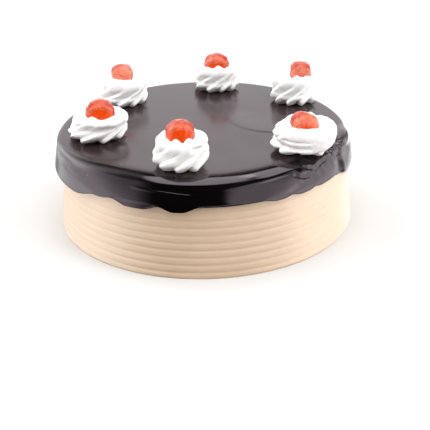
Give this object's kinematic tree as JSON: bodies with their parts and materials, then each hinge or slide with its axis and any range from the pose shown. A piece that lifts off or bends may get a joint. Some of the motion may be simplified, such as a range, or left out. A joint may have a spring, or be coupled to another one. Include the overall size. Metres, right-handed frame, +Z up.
{
  "type": "chocolate mousse cake",
  "caption": "Round uncut cake with a combed coffee-cream side, a glossy dark chocolate glaze hanging over the edge in drips, and a ring of piped cream swirls topped with candied red fruit.",
  "frame": {"origin": "on the flat base, under the middle of the cake's bounding box", "axes": "+Z up out of the top; -Y to the front, where the swirl nearest the viewer is; +X to the right"},
  "size_m": [0.203, 0.2003, 0.0925],
  "materials": {
    "coffee_cream": "soft matte combed cream",
    "chocolate_glaze": "mirror gloss poured glaze",
    "whipped_cream": "soft matte piped cream",
    "candied_cherry": "glossy syrup, a little see-through"
  },
  "bodies": {
    "root": {"cake_body": "coffee_cream", "chocolate_glaze": "chocolate_glaze", "rosette_front_mid": "whipped_cream", "rosette_front_left": "whipped_cream", "rosette_back_left": "whipped_cream", "rosette_back_mid": "whipped_cream", "rosette_back_right": "whipped_cream", "rosette_front_right": "whipped_cream", "cherry_front_mid": "candied_cherry", "cherry_front_left": "candied_cherry", "cherry_back_left": "candied_cherry", "cherry_back_mid": "candied_cherry", "cherry_back_right": "candied_cherry", "cherry_front_right": "candied_cherry"}
  },
  "joints": []
}
